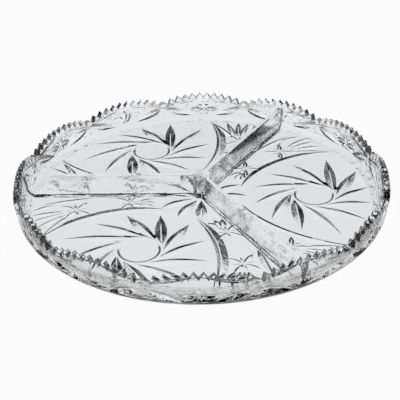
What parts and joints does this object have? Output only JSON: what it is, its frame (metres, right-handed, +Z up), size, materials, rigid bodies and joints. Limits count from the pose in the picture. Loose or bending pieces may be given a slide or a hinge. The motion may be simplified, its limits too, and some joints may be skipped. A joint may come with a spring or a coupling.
{
  "type": "relish tray",
  "caption": "Round divided relish tray of pressed clear glass, with a scalloped saw-tooth rim, three dividers meeting at a hub, and a cut pinwheel under each compartment.",
  "frame": {"origin": "Centre of the flat underside, on the surface that the tray stands on", "axes": "+Z points up out of the open side; +X points from the hub through the middle of the right-hand compartment"},
  "size_m": [0.304, 0.304, 0.0299],
  "materials": {
    "clear_glass": "polished"
  },
  "bodies": {
    "root": {"floor_plate": "clear_glass", "side_wall": "clear_glass", "scalloped_rim": "clear_glass", "divider_left": "clear_glass", "divider_back": "clear_glass", "divider_front": "clear_glass", "center_hub": "clear_glass"}
  },
  "joints": []
}
